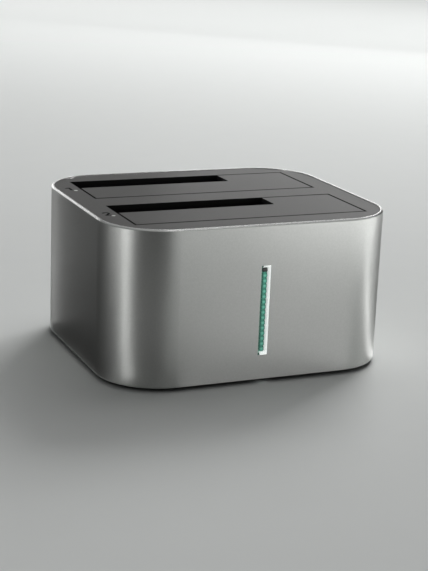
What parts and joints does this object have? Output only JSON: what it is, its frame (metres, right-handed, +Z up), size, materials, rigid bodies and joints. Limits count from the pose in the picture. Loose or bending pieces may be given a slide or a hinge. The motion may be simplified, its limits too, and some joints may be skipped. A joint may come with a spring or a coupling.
{
  "type": "hard drive docking station",
  "caption": "Desktop dock for bare hard drives: rounded aluminium sleeve, dark top with sprung L-shaped flaps over drive wells, beaded light bar in front, sockets behind.",
  "frame": {"origin": "on the table under the middle of the body, at the underside of the feet", "axes": "+X to the right seen from the front, +Y to the back where the sockets are, +Z up"},
  "size_m": [0.127, 0.111, 0.0675],
  "materials": {
    "sleeve": "bead-blasted, anodised grey, with a bright cut chamfer",
    "cover": "fine moulded texture",
    "flap": "fine moulded texture",
    "frame": "moulded black",
    "base": "moulded black",
    "panel": "moulded black",
    "steel": "bright zinc",
    "board": "solder mask",
    "socket": "moulded black",
    "contact": "gold flash",
    "shell": "nickel plate",
    "tongue": "moulded blue",
    "switch": "moulded black",
    "rocker": "polished black",
    "button": "moulded grey",
    "lens": "translucent green",
    "lamp": "cast resin",
    "pipe": "clear moulding",
    "chip": "moulded package",
    "can": "drawn can in a dark sleeve",
    "foot": "moulded rubber"
  },
  "bodies": {
    "dock": {"body_sleeve": "sleeve", "top_cover": "cover", "drive_frame": "frame", "base_plate": "base", "rear_panel": "panel", "hinge_pin_rear": "steel", "hinge_pin_front": "steel", "flap_spring_rear": "steel", "flap_spring_front": "steel", "main_board": "board", "sata_socket_rear": "socket", "sata_socket_front": "socket", "sata_contacts_rear": "contact", "sata_contacts_front": "contact", "usb_shell": "shell", "usb_tongue": "tongue", "power_inlet": "socket", "power_inlet_pin": "steel", "power_switch_body": "switch", "copy_switch_body": "switch", "light_bar_lens": "lens", "led_board": "board", "light_bar_leds": "lamp", "led_header": "socket", "light_pipe_rear": "pipe", "light_pipe_front": "pipe", "bay_leds": "lamp", "bridge_chip": "chip", "memory_chip": "chip", "capacitors": "can", "power_coil": "chip", "crystal": "shell", "foot_front_left": "foot", "foot_front_right": "foot", "foot_rear_left": "foot", "foot_rear_right": "foot", "base_screws": "steel", "board_screws": "steel", "cover_screws": "steel", "led_board_screws": "steel"},
    "rear_flap": {"flap_rear": "flap"},
    "front_flap": {"flap_front": "flap"},
    "power_key": {"power_rocker": "rocker"},
    "copy_key": {"copy_button": "button", "copy_plunger": "switch"}
  },
  "joints": [
    {"name": "rear_flap_hinge", "type": "hinge", "parent": "dock", "child": "rear_flap", "pos_m": [0, 0.0091, 0.0636], "axis": [-1, 0, 0], "range_deg": [0, 88], "stiffness_Nm_per_rad": 0.02, "springref_deg": -20.05, "deforming": ["flap_spring_rear"]},
    {"name": "front_flap_hinge", "type": "hinge", "parent": "dock", "child": "front_flap", "pos_m": [0, -0.0403, 0.0636], "axis": [-1, 0, 0], "range_deg": [0, 88], "stiffness_Nm_per_rad": 0.02, "springref_deg": -20.05, "deforming": ["flap_spring_front"]},
    {"name": "power_rocker_tilt", "type": "hinge", "parent": "dock", "child": "power_key", "pos_m": [-0.025, 0.05175, 0.0127], "axis": [0, 0, 1], "range_deg": [0, 20]},
    {"name": "copy_button_press", "type": "slide", "parent": "dock", "child": "copy_key", "axis": [0, -1, 0], "range_m": [0, 0.0005], "stiffness_N_per_m": 800, "springref_m": -0.0004}
  ]
}
